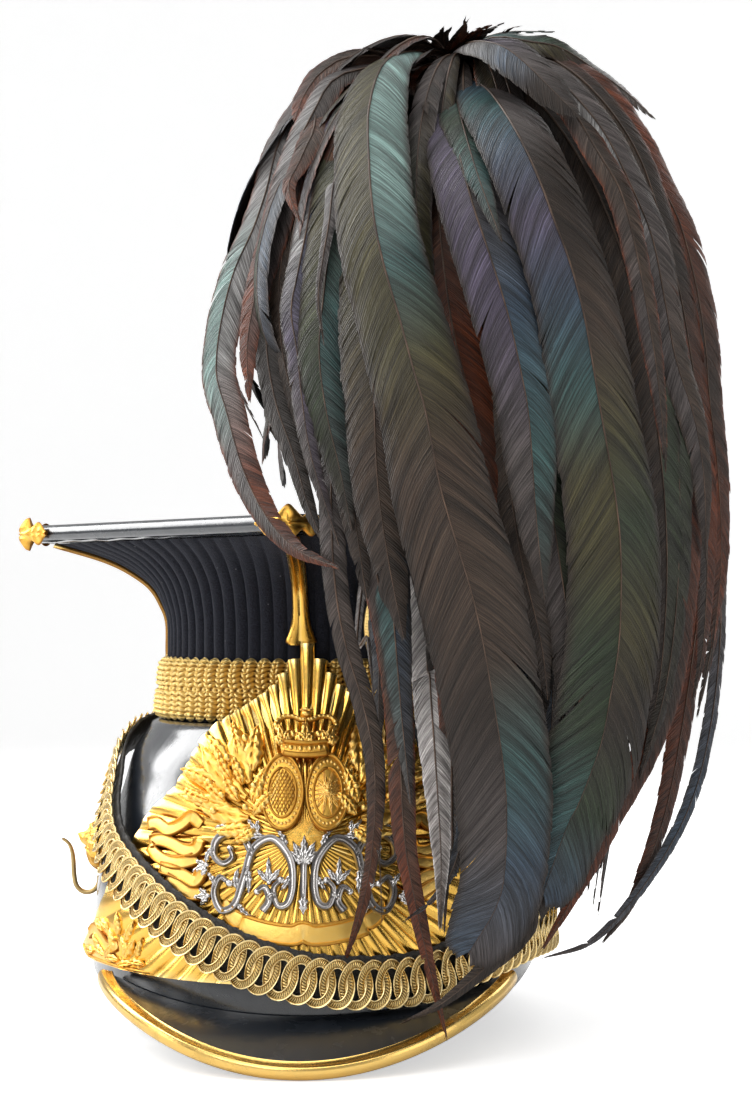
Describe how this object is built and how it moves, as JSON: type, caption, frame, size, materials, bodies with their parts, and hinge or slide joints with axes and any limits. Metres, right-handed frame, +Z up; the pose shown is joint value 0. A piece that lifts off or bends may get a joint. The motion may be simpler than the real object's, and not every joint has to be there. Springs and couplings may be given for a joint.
{
  "type": "lance cap",
  "caption": "Lance cap with an oval leather skull, peak, waisted crown of ribbed cloth under a square board, rayed gilt front plate, chin chain and falling plume of cock's feathers.",
  "frame": {"origin": "under the middle of the whole cap's bounding box, on the surface that it stands on", "axes": "+Z up, -Y the way the peak points, +X the wearer's left"},
  "size_m": [0.2702, 0.2788, 0.3711],
  "materials": {
    "patent_leather": "glossy black patent leather",
    "crown_cloth": "black ribbed wool cloth",
    "gilt": "fire gilt brass",
    "tarnished_brass": "worn and lightly tarnished gilt",
    "gold_gimp": "gold wire bullion",
    "oxidised_silver": "darkened silver",
    "strap_leather": "dull dark leather",
    "feather": "iridescent green black cock's feathers"
  },
  "bodies": {
    "root": {"skull": "patent_leather", "peak": "patent_leather", "peak_binding": "tarnished_brass", "crown_cloth": "crown_cloth", "top_board": "patent_leather", "corner_leaf_front": "gilt", "corner_leaf_left": "gilt", "corner_leaf_back": "gilt", "corner_leaf_right": "gilt", "corner_strip_front": "gilt", "corner_strip_left": "gilt", "corner_strip_back": "gilt", "corner_strip_right": "gilt", "waist_band": "gold_gimp", "plate": "gilt", "coronet": "gilt", "oval_right": "gilt", "oval_left": "gilt", "spray_right": "gilt", "spray_left": "gilt", "scroll_right": "gilt", "scroll_left": "gilt", "ribbon": "gilt", "silver_scroll_right": "oxidised_silver", "silver_scroll_left": "oxidised_silver", "silver_knot": "oxidised_silver", "chain_strap": "strap_leather", "chain": "tarnished_brass", "boss_right": "gilt", "boss_left": "gilt", "hook_right": "tarnished_brass", "rosette": "gold_gimp", "plume_socket": "gilt", "plume": "feather"}
  },
  "joints": []
}
